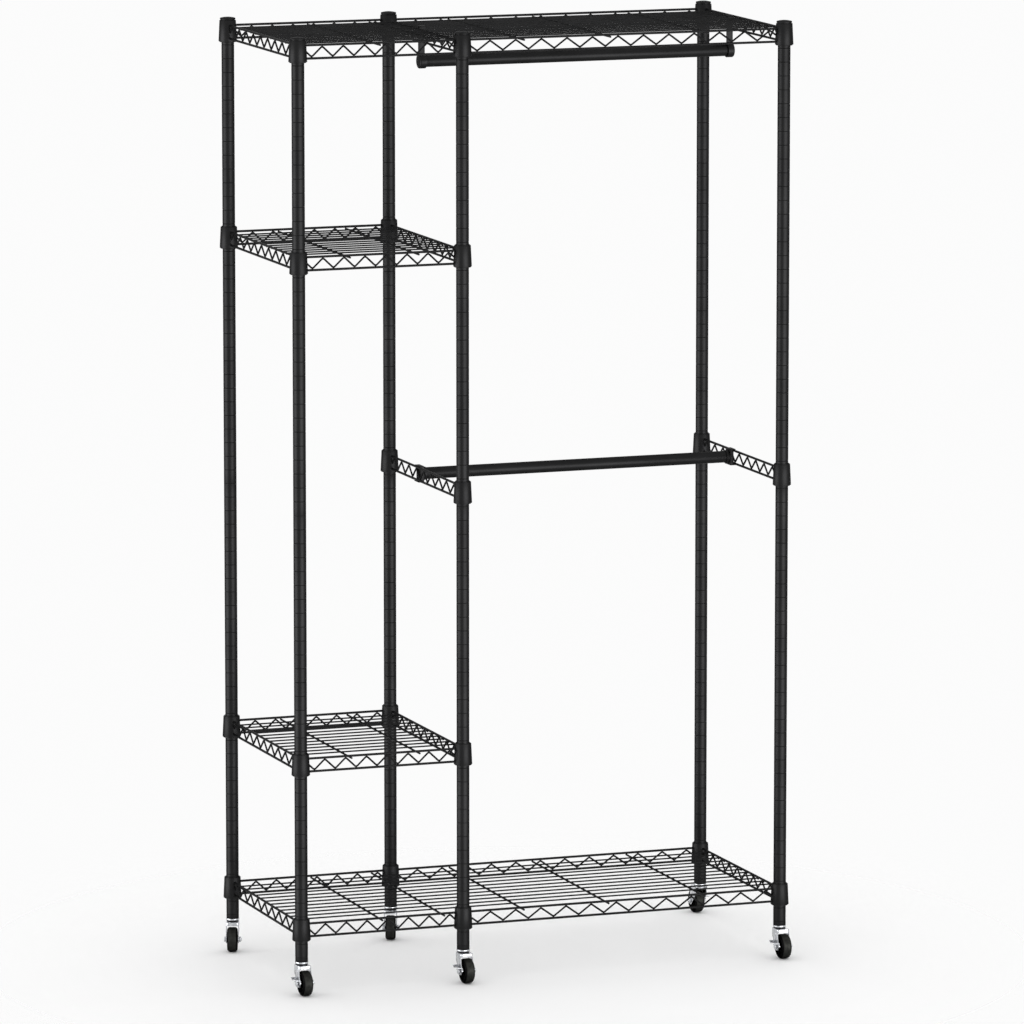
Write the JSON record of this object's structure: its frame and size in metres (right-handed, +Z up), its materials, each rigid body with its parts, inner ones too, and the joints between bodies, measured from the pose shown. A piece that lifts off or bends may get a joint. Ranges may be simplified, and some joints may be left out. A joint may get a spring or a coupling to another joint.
{
  "type": "open frame wardrobe",
  "caption": "Free-standing open wardrobe: wire shelves, side rails and hanging rods clipped to grooved round posts that roll on swivel casters with brake levers.",
  "frame": {"origin": "on the floor, at the centre of the rectangle that the posts stand on", "axes": "+X to the right seen from the front, +Y to the back, +Z up; the shelf bay is on the -X side"},
  "size_m": [1.0704, 0.534, 1.9025],
  "materials": {
    "black_coated_steel": "satin black powder coat",
    "black_plastic": "moulded, satin",
    "bare_steel": "plain",
    "bright_plated_steel": "bright zinc plate",
    "black_wheel": "moulded, slight gloss"
  },
  "bodies": {
    "frame": {"post_front_left_lower": "black_coated_steel", "post_front_left_upper": "black_coated_steel", "post_front_middle_lower": "black_coated_steel", "post_front_middle_upper": "black_coated_steel", "post_front_right_lower": "black_coated_steel", "post_front_right_upper": "black_coated_steel", "post_back_left_lower": "black_coated_steel", "post_back_left_upper": "black_coated_steel", "post_back_middle_lower": "black_coated_steel", "post_back_middle_upper": "black_coated_steel", "post_back_right_lower": "black_coated_steel", "post_back_right_upper": "black_coated_steel", "top_shelf": "black_coated_steel", "upper_side_shelf": "black_coated_steel", "lower_side_shelf": "black_coated_steel", "bottom_shelf": "black_coated_steel", "middle_side_rail": "black_coated_steel", "right_side_rail": "black_coated_steel", "upper_rod": "black_coated_steel", "lower_rod": "black_coated_steel", "upper_rod_hanger_left": "black_coated_steel", "upper_rod_hanger_right": "black_coated_steel", "post_caps": "black_plastic", "post_inserts": "black_plastic", "caster_races": "black_plastic", "top_shelf_sleeves": "black_plastic", "upper_side_shelf_sleeves": "black_plastic", "lower_side_shelf_sleeves": "black_plastic", "bottom_shelf_sleeves": "black_plastic", "side_rail_sleeves": "black_plastic", "lower_rod_holder_left": "black_plastic", "lower_rod_holder_right": "black_plastic", "post_connectors": "bare_steel", "caster_stems": "bright_plated_steel"},
    "caster_front_left": {"caster_fork_front_left": "bright_plated_steel", "caster_axle_front_left": "bright_plated_steel"},
    "wheel_front_left": {"caster_wheel_front_left": "black_wheel"},
    "brake_front_left": {"brake_lever_front_left": "bright_plated_steel"},
    "caster_front_middle": {"caster_fork_front_middle": "bright_plated_steel", "caster_axle_front_middle": "bright_plated_steel"},
    "wheel_front_middle": {"caster_wheel_front_middle": "black_wheel"},
    "brake_front_middle": {"brake_lever_front_middle": "bright_plated_steel"},
    "caster_front_right": {"caster_fork_front_right": "bright_plated_steel", "caster_axle_front_right": "bright_plated_steel"},
    "wheel_front_right": {"caster_wheel_front_right": "black_wheel"},
    "brake_front_right": {"brake_lever_front_right": "bright_plated_steel"},
    "caster_back_left": {"caster_fork_back_left": "bright_plated_steel", "caster_axle_back_left": "bright_plated_steel"},
    "wheel_back_left": {"caster_wheel_back_left": "black_wheel"},
    "caster_back_middle": {"caster_fork_back_middle": "bright_plated_steel", "caster_axle_back_middle": "bright_plated_steel"},
    "wheel_back_middle": {"caster_wheel_back_middle": "black_wheel"},
    "caster_back_right": {"caster_fork_back_right": "bright_plated_steel", "caster_axle_back_right": "bright_plated_steel"},
    "wheel_back_right": {"caster_wheel_back_right": "black_wheel"},
    "brake_back_right": {"brake_lever_back_right": "bright_plated_steel"}
  },
  "joints": [
    {"name": "swivel_front_left", "type": "hinge", "parent": "frame", "child": "caster_front_left", "pos_m": [-0.51, -0.221, 0.0585], "axis": [0, 0, 1], "continuous": true},
    {"name": "roll_front_left", "type": "hinge", "parent": "caster_front_left", "child": "wheel_front_left", "pos_m": [-0.51, -0.242, 0.025], "axis": [1, 0, 0], "continuous": true},
    {"name": "brake_front_left", "type": "hinge", "parent": "caster_front_left", "child": "brake_front_left", "pos_m": [-0.51, -0.242, 0.025], "axis": [-1, 0, 0], "range_deg": [0, 20]},
    {"name": "swivel_front_middle", "type": "hinge", "parent": "frame", "child": "caster_front_middle", "pos_m": [-0.17, -0.221, 0.0585], "axis": [0, 0, 1], "continuous": true},
    {"name": "roll_front_middle", "type": "hinge", "parent": "caster_front_middle", "child": "wheel_front_middle", "pos_m": [-0.17, -0.242, 0.025], "axis": [1, 0, 0], "continuous": true},
    {"name": "brake_front_middle", "type": "hinge", "parent": "caster_front_middle", "child": "brake_front_middle", "pos_m": [-0.17, -0.242, 0.025], "axis": [-1, 0, 0], "range_deg": [0, 20]},
    {"name": "swivel_front_right", "type": "hinge", "parent": "frame", "child": "caster_front_right", "pos_m": [0.51, -0.221, 0.0585], "axis": [0, 0, 1], "continuous": true},
    {"name": "roll_front_right", "type": "hinge", "parent": "caster_front_right", "child": "wheel_front_right", "pos_m": [0.51, -0.242, 0.025], "axis": [1, 0, 0], "continuous": true},
    {"name": "brake_front_right", "type": "hinge", "parent": "caster_front_right", "child": "brake_front_right", "pos_m": [0.51, -0.242, 0.025], "axis": [-1, 0, 0], "range_deg": [0, 20]},
    {"name": "swivel_back_left", "type": "hinge", "parent": "frame", "child": "caster_back_left", "pos_m": [-0.51, 0.221, 0.0585], "axis": [0, 0, 1], "continuous": true},
    {"name": "roll_back_left", "type": "hinge", "parent": "caster_back_left", "child": "wheel_back_left", "pos_m": [-0.51718, 0.20127, 0.025], "axis": [0.9397, -0.342, 0], "continuous": true},
    {"name": "swivel_back_middle", "type": "hinge", "parent": "frame", "child": "caster_back_middle", "pos_m": [-0.17, 0.221, 0.0585], "axis": [0, 0, 1], "continuous": true},
    {"name": "roll_back_middle", "type": "hinge", "parent": "caster_back_middle", "child": "wheel_back_middle", "pos_m": [-0.17718, 0.20127, 0.025], "axis": [0.9397, -0.342, 0], "continuous": true},
    {"name": "swivel_back_right", "type": "hinge", "parent": "frame", "child": "caster_back_right", "pos_m": [0.51, 0.221, 0.0585], "axis": [0, 0, 1], "continuous": true},
    {"name": "roll_back_right", "type": "hinge", "parent": "caster_back_right", "child": "wheel_back_right", "pos_m": [0.51, 0.242, 0.025], "axis": [-1, 0, 0], "continuous": true},
    {"name": "brake_back_right", "type": "hinge", "parent": "caster_back_right", "child": "brake_back_right", "pos_m": [0.51, 0.242, 0.025], "axis": [1, 0, 0], "range_deg": [0, 20]}
  ]
}
